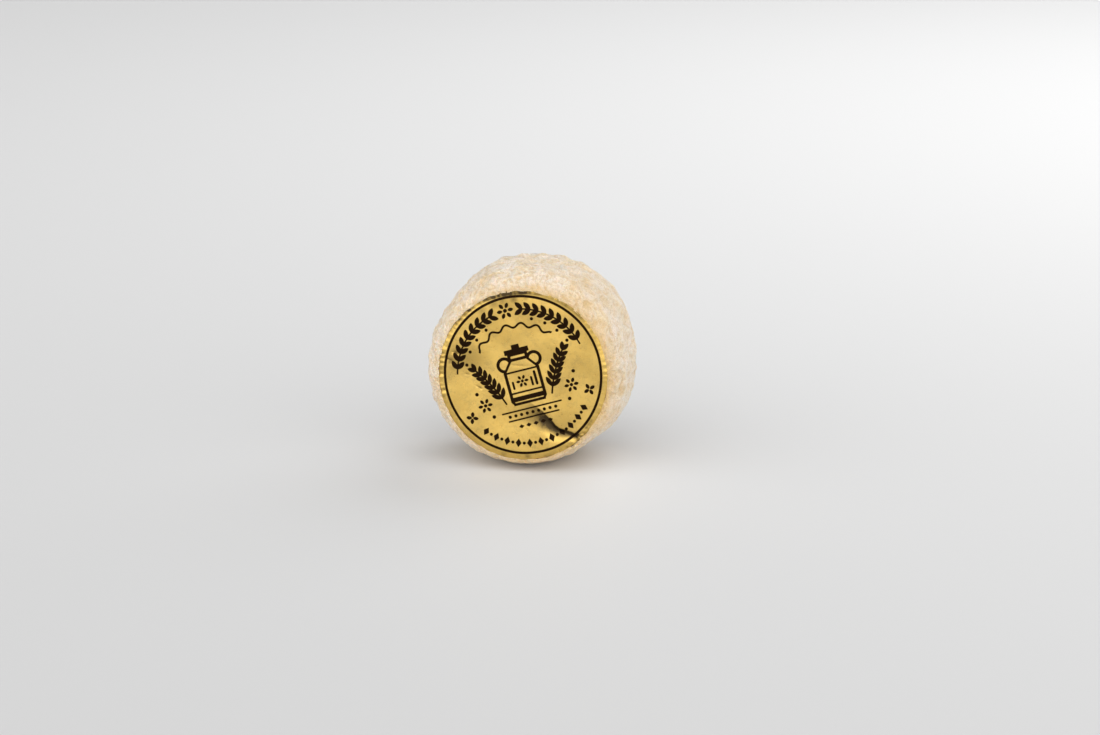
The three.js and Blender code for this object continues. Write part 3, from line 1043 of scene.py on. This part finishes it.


# Gold mottled with deeper and duller gold, tarnish and painted shade over it and ink over that.
def foilFinish():
    material, bench = newMaterial("foilFinish")
    distance = bench.carried("printDistance")
    inked = 1 - distance.ramp(-printed["edge"], printed["edge"])
    mottle = bench.clouds(foil["mottleSize"], 3.0, 0.6)
    drift = bench.clouds(foil["driftSize"], 2.0, shift=(0.2, 0.8, 0.3))
    blots = bench.clouds(foil["blotSize"], 4.0, 0.65, shift=(0.7, 0.2, 0.4))
    grain = bench.clouds(foil["grainSize"], 2.0, shift=(0.1, 0.6, 0.9))
    colour = bench.mixed(foil["goldDeep"], foil["gold"], (mottle * 0.6 + drift * 0.6).ramp(0.3, 0.8))
    dulled = (blots * 0.8 + grain * 0.4).ramp(0.55, 0.85)
    colour = bench.mixed(colour, foil["goldDull"], dulled * foil["dullShare"])
    # Tarnish, and painted shadow, shade and dark reflection in the fold, creases and dents and along the
    # rim
    tarnishedAndShaded = bench.carried("tarnishAndShade") * (0.6 + mottle * 0.8)
    colour = bench.mixed(colour, foil["tarnishAndShade"], tarnishedAndShaded.clamped())
    colour = bench.mixed(colour, foil["ink"], inked)
    normal = bench.bumped(mottle * 0.6 + grain * 0.4, foil["grainDepth"], 0.6)
    bench.finished({
        "Base Color": colour,
        "Metallic": 1.0,
        "Roughness": 0.24 + mottle * 0.1 + inked * 0.12,
        "Normal": normal,
    })
    return material


# The label as one closed piece: a square grid bent into the round front, and rings for the back.
def makeLabel():
    cells = foil["cells"]
    radius, angle = discGrid(cells)
    middleX, middleZ = seat["shift"]
    x = middleX + seat["labelRadius"] * radius * np.cos(angle)
    z = middleZ + seat["labelRadius"] * radius * np.sin(angle)
    points = [foilPoint(x, z, seat["inset"])]
    index = np.arange((cells + 1) ** 2).reshape(cells + 1, cells + 1)
    quads = np.stack([index[:-1, :-1], index[:-1, 1:], index[1:, 1:], index[1:, :-1]], -1)
    faces = quads.reshape(-1, 4).tolist()

    # The way round the rim, then the back as rings that close in on a middle point
    rim = np.concatenate([index[0, :-1], index[:-1, -1], index[-1, :0:-1], index[:0:-1, 0]])
    rimAngle = angle.ravel()[rim]
    columns = len(rim)
    start = len(points[0])
    backRadius = np.linspace(1, 0, foil["backRings"] + 1)[:-1, None]
    backX = middleX + seat["labelRadius"] * backRadius * np.cos(rimAngle)
    backZ = middleZ + seat["labelRadius"] * backRadius * np.sin(rimAngle)
    thickness = foil["edgeThickness"] + foil["backSink"] * smooth(1 - backRadius, 0, foil["backBlend"])
    points.append(foilPoint(backX, backZ, seat["inset"] + thickness))
    inset = seat["inset"] + foil["edgeThickness"] + foil["backSink"]
    points.append(foilPoint(np.array([middleX]), np.array([middleZ]), inset))
    following = np.roll(rim, -1)
    ring = start + np.arange(columns)
    faces += np.stack([rim, ring, np.roll(ring, -1), following], -1).tolist()
    faces += ringFaces(foil["backRings"], columns, None, start, start + columns * foil["backRings"])
    points = np.concatenate(points)

    # Print, and tarnish with painted shade, are on the front alone
    distance = np.ones(len(points))
    distance[:start] = printDistance(x, z).ravel()
    tarnishAndShade = np.zeros(len(points))
    tarnishAndShade[:start] = tarnishAndShadeShare(x, z).ravel()
    attributes = {"printDistance": distance, "tarnishAndShade": tarnishAndShade}
    return makePiece("foilLabel", points, faces, attributes, foilFinish())


print("rind")
rindSkin = makeRind()
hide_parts("cheese")
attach(rindSkin, "root")

print("foil label")
foilLabel = makeLabel()
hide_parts("label")
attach(foilLabel, "root")

# Studio: what a user would change, in metres
studio = {
    "floorHalf": 6.0,
    "floorColour": (0.72, 0.72, 0.72),
    "lowStrength": 1.12,  # of the room near the horizon
    "highStrength": 0.76,  # and straight above
    "rightShare": 0.06,  # how much brighter the right is than the middle
    "frontShare": 2.2,  # and the front, up to twice as bright
    "seenStrength": 0.82,  # of the room as the camera sees it
    "lampPlace": (0.35, 0.62, 0.55),
    "lampAim": (-0.04, 0.47, 0.0),
    "lampSize": 0.8,
    "lampPower": 3.3,
}


# The direction from the object to a place seen at this azimuth and elevation.
def wayTo(azimuth, elevation):
    azimuth = math.radians(azimuth)
    elevation = math.radians(elevation)
    flat = math.cos(elevation)
    return Vector((math.sin(azimuth) * flat, -math.cos(azimuth) * flat, math.sin(elevation)))


# A plain pale floor, one square face.
def makeFloor():
    corners = studio["floorHalf"] * np.array([(-1, -1, 0), (1, -1, 0), (1, 1, 0), (-1, 1, 0)])
    material, bench = newMaterial("floorFinish")
    bench.finished({"Base Color": studio["floorColour"], "Roughness": 0.6, "Specular IOR Level": 0.3})
    floor = makePiece("floor", corners, [(0, 1, 2, 3)], {}, material)


# A pale room that is brightest in front and low down, and even where the camera sees it.
def lightWorld():
    world = bpy.data.worlds.new("studioWorld")
    world.use_nodes = True
    bpy.context.scene.world = world
    bench = Bench(world.node_tree)
    direction = bench.node("ShaderNodeTexCoord").wire("Generated")
    split = bench.node("ShaderNodeSeparateXYZ", None, {0: direction})
    high = split.wire("Z").ramp(0.0, 1.0)
    strength = studio["lowStrength"] - high * (studio["lowStrength"] - studio["highStrength"])
    strength = strength * (1 + split.wire("X") * studio["rightShare"])
    front = (0.5 - split.wire("Y") * (0.5 * studio["frontShare"])).clamped()
    strength = strength * front * 2
    seen = bench.node("ShaderNodeLightPath").wire("Is Camera Ray")
    strength = strength * (1 - seen) + seen * studio["seenStrength"]
    values = {"Color": (1.0, 1.0, 1.0), "Strength": strength}
    background = bench.node("ShaderNodeBackground", None, values).wire(0)
    bench.node("ShaderNodeOutputWorld", None, {"Surface": background})


# A soft lamp that brightens the object's right side and the floor behind it.
def makeLamp():
    light = bpy.data.lights.new("backLamp", "AREA")
    light.shape = "DISK"
    light.size = studio["lampSize"]
    light.energy = studio["lampPower"]
    lamp = bpy.data.objects.new("backLamp", light)
    place = Vector(studio["lampPlace"])
    lamp.location = place
    aim = Vector(studio["lampAim"]) - place
    lamp.rotation_euler = aim.to_track_quat("-Z", "Y").to_euler()
    bpy.context.scene.collection.objects.link(lamp)


# Camera: the photograph's angle, with the print's ring at the photograph's pixel
shot = {
    "azimuth": 9.7,
    "elevation": 15.5,
    "distance": 890,
    "lens": 100,
    "sensor": 36,
    "frameSize": (1100, 735),
    "ringPixel": (522.6, 374.1),
}


# The camera stands along wayTo() from the face, moved so that the ring's middle is at its pixel.
def makeCamera():
    azimuth = math.radians(shot["azimuth"])
    across = Vector((math.cos(azimuth), math.sin(azimuth), 0))
    back = wayTo(shot["azimuth"], shot["elevation"])
    up = back.cross(across)
    width, height = shot["frameSize"]
    perPixel = shot["sensor"] / shot["lens"] / width * shot["distance"] * mm
    aside = (shot["ringPixel"][0] - width / 2) * perPixel
    raised = (height / 2 - shot["ringPixel"][1]) * perPixel
    lens = bpy.data.cameras.new("photoCamera")
    lens.lens = shot["lens"]
    lens.sensor_width = shot["sensor"]
    camera = bpy.data.objects.new("photoCamera", lens)
    place = Vector(origin) - across * aside - up * raised + back * shot["distance"] * mm
    turned = Matrix((across, up, back)).transposed()
    camera.matrix_world = Matrix.Translation(place) @ turned.to_4x4()
    bpy.context.scene.collection.objects.link(camera)
    bpy.context.scene.camera = camera


print("studio")
makeFloor()
lightWorld()
makeLamp()
makeCamera()
bpy.context.scene.view_settings.view_transform = "Standard"
